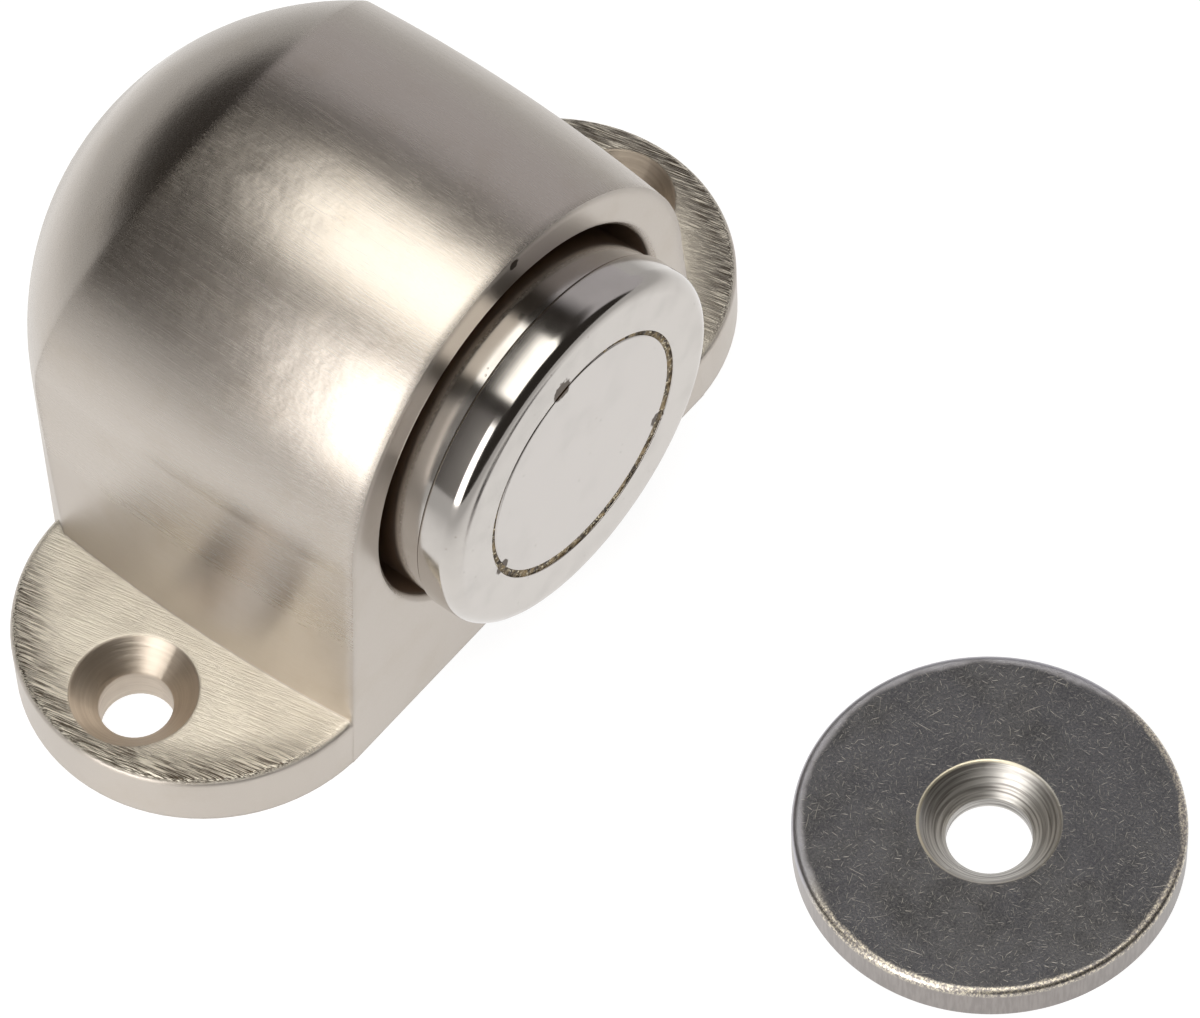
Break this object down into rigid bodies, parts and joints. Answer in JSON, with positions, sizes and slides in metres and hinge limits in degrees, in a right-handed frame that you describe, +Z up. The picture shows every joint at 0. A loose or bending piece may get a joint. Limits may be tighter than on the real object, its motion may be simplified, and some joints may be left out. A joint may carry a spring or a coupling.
{
  "type": "magnetic door stop",
  "caption": "Floor-mounted door stop: round-backed metal housing on a plate with two screw ears, a sprung magnet head in front and a countersunk strike disc.",
  "frame": {"origin": "on the floor plane, half way between the two screw holes of the base plate", "axes": "+Z up, X along the two ears, -Y the way the magnet faces, towards the open door"},
  "size_m": [0.0564, 0.0784, 0.034],
  "materials": {
    "satin_nickel": "satin nickel plate, finely brushed",
    "polished_nickel": "polished nickel plate",
    "magnet_plate": "bright nickel plate",
    "glue": "rough dried adhesive",
    "zinc_steel": "zinc plated",
    "spring_steel": "drawn wire",
    "dark_steel": "tumbled bare steel with fine scratches"
  },
  "bodies": {
    "base": {"housing": "satin_nickel", "shoulder_screw": "zinc_steel", "spring": "spring_steel", "strike_disc": "dark_steel"},
    "head": {"magnet_cup": "polished_nickel", "magnet": "magnet_plate", "glue_line": "glue"}
  },
  "joints": [
    {"name": "head_slide", "type": "slide", "parent": "base", "child": "head", "axis": [0, 1, 0], "range_m": [0, 0.0024], "stiffness_N_per_m": 2700, "springref_m": -0.0017, "deforming": ["spring"]}
  ]
}
